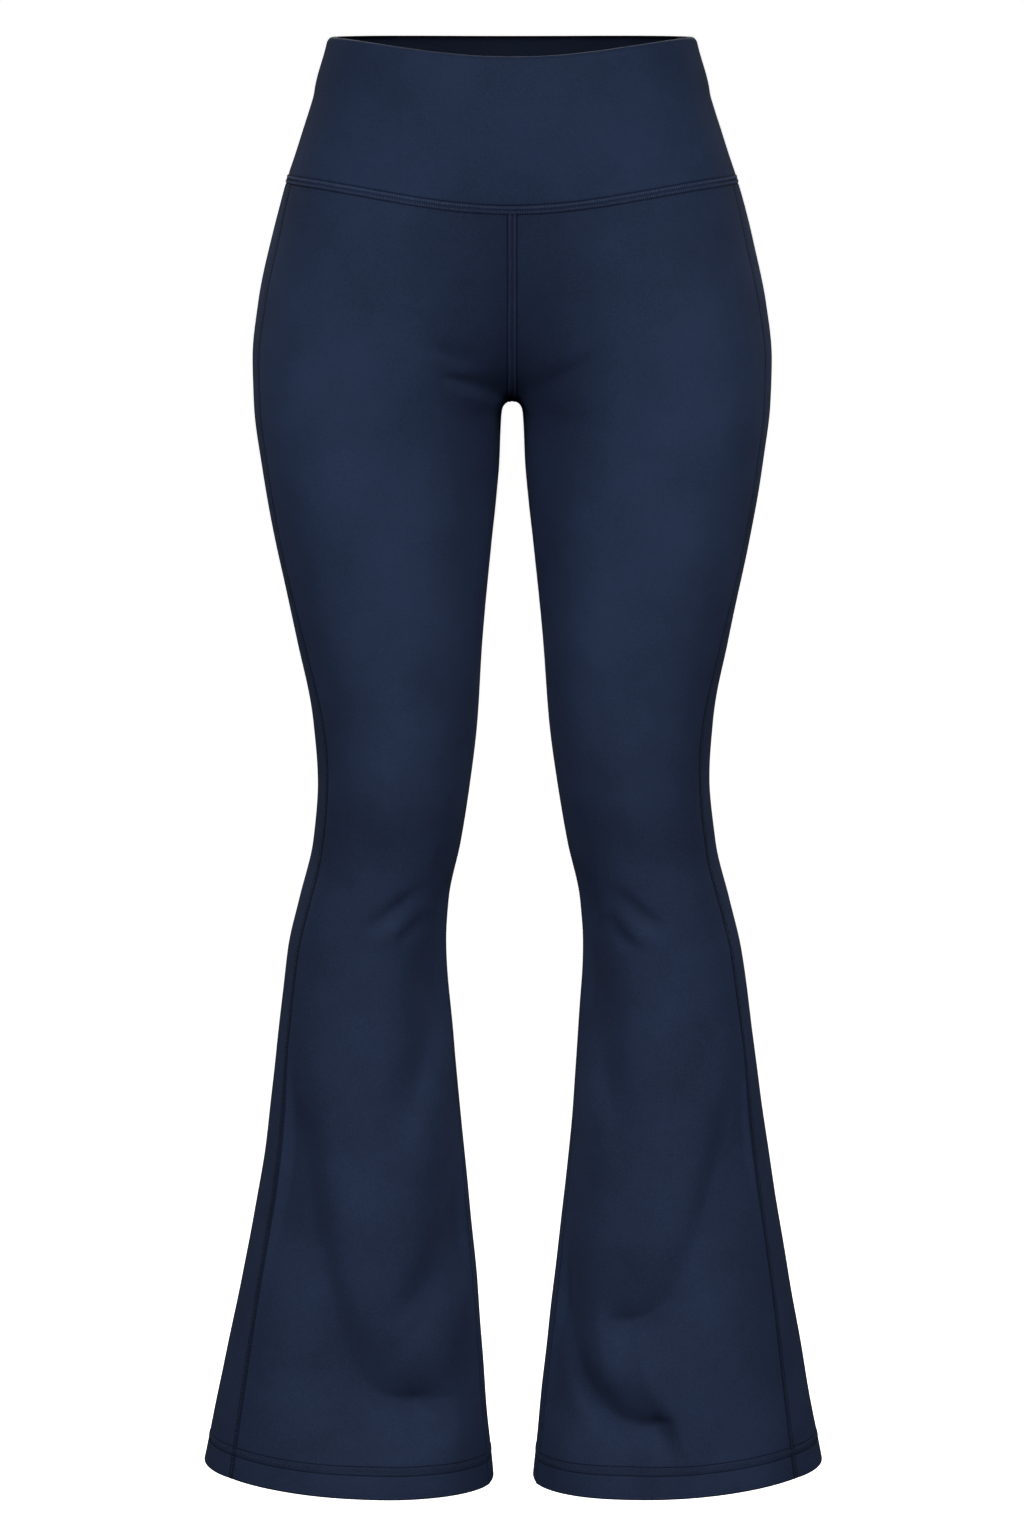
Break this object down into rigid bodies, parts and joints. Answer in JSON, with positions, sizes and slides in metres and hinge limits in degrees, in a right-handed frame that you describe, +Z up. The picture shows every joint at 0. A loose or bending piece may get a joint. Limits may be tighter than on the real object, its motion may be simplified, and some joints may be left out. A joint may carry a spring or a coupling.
{
  "type": "flared compression leggings",
  "caption": "High-rise leggings in worn shape with no wearer: wide waistband, close thighs and knees, legs flaring to open hems.",
  "frame": {"origin": "middle of the waist opening, level with the waistband's top edge at the sides", "axes": "+Z up out of the waist opening, so the legs hang towards -Z; the front faces -Y; +X is towards the wearer's left"},
  "size_m": [0.4726, 0.222, 1.0895],
  "materials": {
    "band_knit": "matt navy knit, double",
    "leg_knit": "matt navy knit"
  },
  "bodies": {
    "root": {"waistband_front": "band_knit", "waistband_back": "band_knit", "leg_front_left": "leg_knit", "leg_front_right": "leg_knit", "leg_back_left": "leg_knit", "leg_back_right": "leg_knit"}
  },
  "joints": []
}
